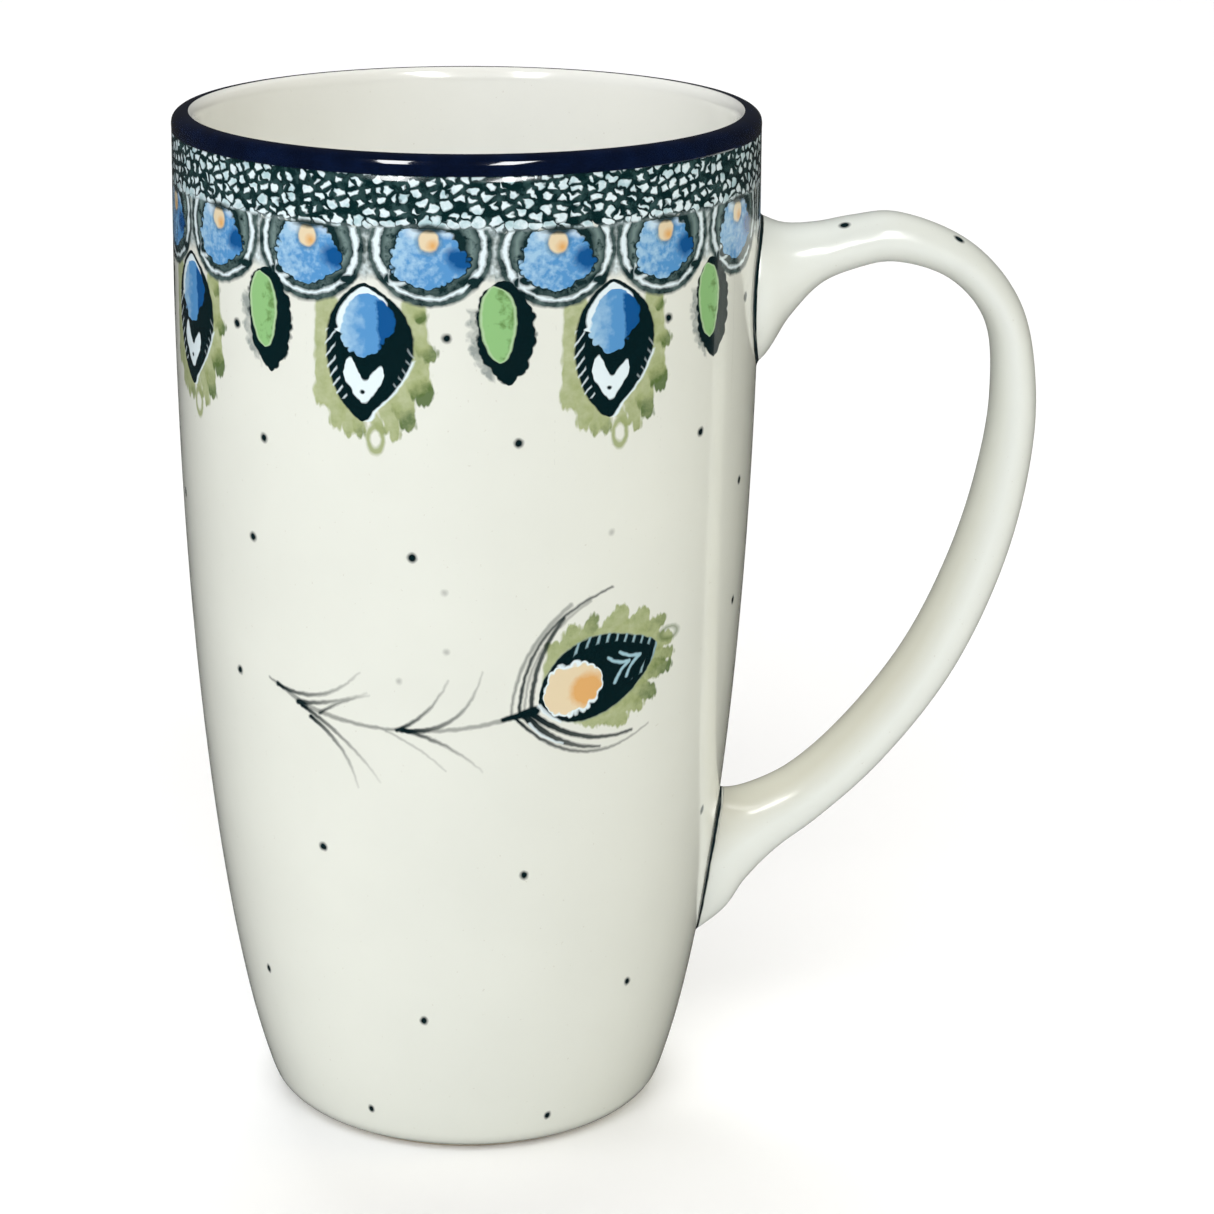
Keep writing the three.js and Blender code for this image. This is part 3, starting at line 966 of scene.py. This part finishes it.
# The handle's route from its upper root to its lower one, as the CAD has it, in mm: outer edge and
# inner edge as (x, z), and half width. The first and last rows lie inside the cup's wall.
HANDLE = [
    ((33, 135.6), (33, 107), 11.8),
    ((41.3, 132.8), (41.6, 111.9), 11),
    ((44.8, 131.5), (45.8, 118.3), 8.8),
    ((49.5, 131.6), (50.2, 123.1), 7),
    ((54.8, 132.6), (55, 125.2), 6.1),
    ((60.7, 133.1), (60.3, 126.2), 5.7),
    ((71.7, 128.7), (68.4, 123.8), 5.6),
    ((78.9, 120.2), (73.9, 117.6), 5.5),
    ((81.7, 107.1), (75.2, 106.9), 5.5),
    ((80.9, 93.3), (73.6, 94.5), 5.6),
    ((77.4, 79), (69.9, 81.6), 5.7),
    ((70.9, 64.3), (63.8, 68.4), 5.7),
    ((61.1, 50.8), (54.7, 56.2), 5.7),
    ((52.2, 42.1), (47.6, 49.7), 5.6),
    ((46.2, 37.2), (42.6, 47.2), 5.6),
    ((41.6, 32.1), (39.6, 46.4), 5.8),
    ((38.6, 27.4), (37.2, 46.4), 6),
    ((31, 21.4), (31, 47.4), 6.4),
]
HANDLE_TURNS = 72
HANDLE_STEPS = 12  # steps from each row of the route to the next
HANDLE_ROWS = 150  # rings of the finished handle, from one joint to the other
SEAM = 0.85  # mm, how far the smoothed slip reaches from the joint's crease, either way
SEAM_STEPS = 8
SEAM_SINK = 0.03  # mm, how far its edges lie under the cup's and the handle's surfaces
SEAM_BACK = 0.6  # mm, how far its hidden back lies under its edges
SEAM_KEEL = 0.9  # mm, how far the back lies under the crease
CAP_SINK = 1.5  # mm, how far the handle's closed ends lie inside the wall


def body_radius(z):
    """The glazed cup's outside radius at a height."""
    face = glazed[outer]
    return np.interp(z, face[:, 1], face[:, 0])


def handle_lines():
    """Lines along the handle's glazed surface from root to root, one for each point of its oval section."""
    outer_edge = smooth_curve([row[0] for row in HANDLE], HANDLE_STEPS)
    inner_edge = smooth_curve([row[1] for row in HANDLE], HANDLE_STEPS)
    half_width = smooth_curve([(row[2], 0) for row in HANDLE], HANDLE_STEPS)[:, 0]
    middle = (outer_edge + inner_edge) / 2
    reach = (outer_edge - inner_edge) / 2
    lines = []
    for k in range(HANDLE_TURNS):
        angle = 2 * math.pi * k / HANDLE_TURNS
        flat = middle + reach * math.cos(angle)
        lines.append(np.stack([flat[:, 0], half_width * math.sin(angle), flat[:, 1]], axis=1))
    return lines


def height_over_glaze(points):
    """How far points are outside the cup's glazed surface, measured from the axis; negative inside."""
    return np.hypot(points[:, 0], points[:, 1]) - body_radius(points[:, 2])


def trimmed(line):
    """The stretch of a line along the handle that is outside the cup, in even steps."""
    over = height_over_glaze(line)
    outside = np.nonzero(over > 0)[0]
    first, last = outside[0], outside[-1]
    start = crossing(line[first - 1], line[first], over[first - 1], over[first])
    end = crossing(line[last], line[last + 1], over[last], over[last + 1])
    path = np.vstack([start, line[first:last + 1], end])
    lengths = lengths_along(path)
    places = np.linspace(0, lengths[-1], HANDLE_ROWS)
    return np.stack([np.interp(places, lengths, path[:, axis]) for axis in range(3)], axis=1)


def crossing(a, b, over_a, over_b):
    """Where the way from a to b meets the cup's surface."""
    return a + (b - a) * (over_a / (over_a - over_b))


def lengths_along(path):
    """The length of a path up to each of its points."""
    return np.concatenate([[0], np.cumsum(np.linalg.norm(np.diff(path, axis=0), axis=1))])


def ring_faces(rows, closed_along=False):
    """Faces between rings of vertices that follow each other."""
    faces = []
    for i in range(rows if closed_along else rows - 1):
        here, next_ring = i * HANDLE_TURNS, (i + 1) % rows * HANDLE_TURNS
        for k in range(HANDLE_TURNS):
            n = (k + 1) % HANDLE_TURNS
            faces.append((here + k, next_ring + k, next_ring + n, here + n))
    return faces


def sunk(points, distance):
    """Points moved towards the cup's axis."""
    moved = points.copy()
    share = 1 - distance / np.hypot(points[:, 0], points[:, 1])
    moved[:, :2] *= share[:, None]
    return moved


def build_seam(name, creases, handle_side, node, materials):
    """Slip smoothed into the crease between cup and handle, and painted with a line under the glaze."""
    middle = creases.mean(axis=0)
    tangent = np.roll(creases, -1, axis=0) - np.roll(creases, 1, axis=0)
    outward = creases * [1, 1, 0]
    along_body = unit(np.cross(outward, tangent))
    away = np.sign(np.sum(along_body * (creases - middle), axis=1))
    on_body = creases + along_body * away[:, None] * SEAM
    on_body[:, :2] *= (body_radius(on_body[:, 2]) / np.hypot(on_body[:, 0], on_body[:, 1]))[:, None]
    on_handle = creases + unit(handle_side - creases) * SEAM
    start, end = sunk(on_body, SEAM_SINK), sunk(on_handle, SEAM_SINK)
    rings, marks_across = [], []
    for i in range(SEAM_STEPS + 1):
        t = i / SEAM_STEPS
        rings.append((1 - t) ** 2 * start + 2 * t * (1 - t) * creases + t * t * end)
        marks_across.append(2 * t - 1)
    rings += [sunk(on_handle, SEAM_BACK), sunk(creases, SEAM_KEEL), sunk(on_body, SEAM_BACK)]
    marks_across += [1, 1, -1]
    faces = ring_faces(len(rings), closed_along=True)
    lengths = lengths_along(creases)
    marks = [(lengths[v % HANDLE_TURNS], marks_across[v // HANDLE_TURNS]) for face in faces for v in face]
    make_piece(name, np.vstack(rings), faces, [node], materials, marks)


def seam_material():
    """Cream glaze with a dark painted line that thins and thickens along the joint."""
    coat = Glazed("painted_seam", CREAM)
    _, across = read_marks(coat.tree)
    width = noise(coat.place, 0.35, 2).scaled(0.3, 0.7, 0.5, 0.8)
    coat.fill(across.abs() - width, INK)
    return coat.finish()


HANDLE_DOTS = [(53.2, -3, 131.6), (69.4, -2.5, 129.6), (66, 4, 59), (77, 4.5, 118)]


def handle_material():
    """Satin cream glaze, with painted shade on the loop's inner side that grows towards the lower root, and
    a few dots.
    """
    coat = Glazed("handle_cream_glaze", HANDLE_CREAM, roughness=0.22)
    feed_all(coat.shader, {"Coat Weight": 0.25})
    outward, share = read_marks(coat.tree)
    # painted shade: the loop's inner side is darkened to a warm beige, more strongly towards the lower root
    coat.layer(outward.scaled(0, -0.75) * share.scaled(0.3, 0.75, 0.1, 0.85), SHADED_HANDLE_CREAM)
    dot_radius = 0.8
    coat.fill(nearest_spot(coat.place, HANDLE_DOTS) - dot_radius, INK, 0.5)
    return coat.finish()


def build_handle():
    lines = [trimmed(line) for line in handle_lines()]
    rings = np.stack(lines, axis=1)
    capped = [sunk(rings[0], CAP_SINK), *rings, sunk(rings[-1], CAP_SINK)]
    rows = len(capped)
    faces = ring_faces(rows)
    faces.append(tuple(range(HANDLE_TURNS)))
    faces.append(tuple(range(rows * HANDLE_TURNS - 1, (rows - 1) * HANDLE_TURNS - 1, -1)))
    outward = [math.cos(2 * math.pi * k / HANDLE_TURNS) for k in range(HANDLE_TURNS)]
    marks = [(outward[v % HANDLE_TURNS], v // HANDLE_TURNS / rows) for face in faces for v in face]
    make_piece("handle_smooth", np.vstack(capped), faces, ["clay_handle", "handle_glaze"],
               [handle_material()], marks)
    seam = seam_material()
    build_seam("upper_root_seam", rings[0], rings[2], "upper_handle_slip", [seam])
    build_seam("lower_root_seam", rings[-1], rings[-3], "lower_handle_slip", [seam])


# --- Camera, light and floor ---

MIDDLE = (0.01, 0, 0.075)  # what the lights face, in metres
CAMERA_PLACE = (0, -0.4736, 0.2222)
CAMERA_TARGET = (0, 0, 0.0746)
LENS = 100.4  # mm, on a sensor 36 mm wide
CROP_SHIFT = 0.1157  # the photograph is cropped off centre by this share of its width
WINDOW_WIDTH, WINDOW_HEIGHT, WINDOW_POWER = 0.26, 1.2, 14
FLOOR_RADIUS, FLOOR_CORNERS = 1.9, 96


def look_at(thing, place, target):
    thing.location = place
    thing.rotation_euler = (Vector(target) - Vector(place)).to_track_quat("-Z", "Y").to_euler()


def add_camera():
    data = bpy.data.cameras.new("camera")
    data.lens = LENS
    data.sensor_width = 36
    data.shift_x = CROP_SHIFT
    camera = add_object("camera", data)
    look_at(camera, CAMERA_PLACE, CAMERA_TARGET)
    bpy.context.scene.camera = camera


def add_light(name, place, width, height, power, colour=(1, 1, 1)):
    """A panel of soft light facing the mug, which doesn't show as a highlight in the glaze."""
    data = bpy.data.lights.new(name, "AREA")
    data.shape = "RECTANGLE"
    data.size, data.size_y = width, height
    data.energy = power
    data.color = colour
    light = add_object(name, data)
    light.visible_glossy = False
    look_at(light, place, MIDDLE)
    return light


def add_window(name, place, lean):
    """A bright panel, its top leaning left by some degrees, that shows only as a highlight in the glaze."""
    light = add_light(name, place, WINDOW_WIDTH, WINDOW_HEIGHT, WINDOW_POWER)
    light.visible_glossy = True
    light.visible_diffuse = False
    light.rotation_euler.rotate_axis("Z", math.radians(lean))


def around(azimuth, elevation, distance):
    """A place round the mug in metres: azimuth in degrees from the front, positive to the right."""
    a, e = math.radians(azimuth), math.radians(elevation)
    return (distance * math.sin(a) * math.cos(e), -distance * math.cos(a) * math.cos(e),
            MIDDLE[2] + distance * math.sin(e))


def add_studio():
    add_window("left_window", around(-35, 50, 1.6), 18)
    add_window("right_window", around(21, 50, 1.6), -18)
    add_light("front_low", around(-8, 14, 2.4), 1.6, 1.6, 5)
    add_light("front_high", around(-4, 40, 2.6), 2.0, 1.4, 43)
    add_light("left_side", around(-75, 15, 2.0), 0.9, 1.5, 10.5, (1, 0.98, 0.96))
    add_light("right_side", around(80, 30, 2.0), 1.0, 1.0, 5.4, (1, 0.87, 0.5))
    add_light("top", around(0, 88, 3.0), 2.6, 2.6, 7)
    add_light("back_top", around(180, 50, 2.8), 2.4, 1.6, 51)
    add_room()


def add_room():
    """A white backdrop beyond the floor, which gives little light and is mirrored as a dim room."""
    world = bpy.data.worlds.new("room")
    bpy.context.scene.world = world
    world.use_nodes = True
    tree = world.node_tree
    background = tree.nodes["Background"]
    feed_all(background, {"Color": (1, 1, 1, 1)})
    ray = new_node(tree, "LightPath")
    strength = Amount(ray.outputs["Is Glossy Ray"]).scaled(0, 1, 0.1, 0.03)
    seen = Amount(ray.outputs["Is Camera Ray"])
    feed(background.inputs["Strength"], strength.max(seen))


def add_floor():
    """A round pale floor, as wide as the lights reach evenly."""
    turns = [2 * math.pi * i / FLOOR_CORNERS for i in range(FLOOR_CORNERS)]
    edge = [(FLOOR_RADIUS * math.cos(a), FLOOR_RADIUS * math.sin(a), 0) for a in turns]
    mesh = bpy.data.meshes.new("floor")
    mesh.from_pydata(edge, [], [tuple(range(FLOOR_CORNERS))])
    material, _, shader = new_material("pale_floor")
    feed_all(shader, {"Base Color": (0.94, 0.94, 0.95, 1), "Roughness": 0.8,
                      "Emission Color": (1, 1, 1, 1), "Emission Strength": 0.1})
    mesh.materials.append(material)
    floor = add_object("floor", mesh)
    floor.visible_glossy = False  # the glaze mirrors a dark room, not the bright floor


build_cup()
build_handle()
add_camera()
add_studio()
add_floor()
bpy.context.scene.view_settings.view_transform = "Standard"
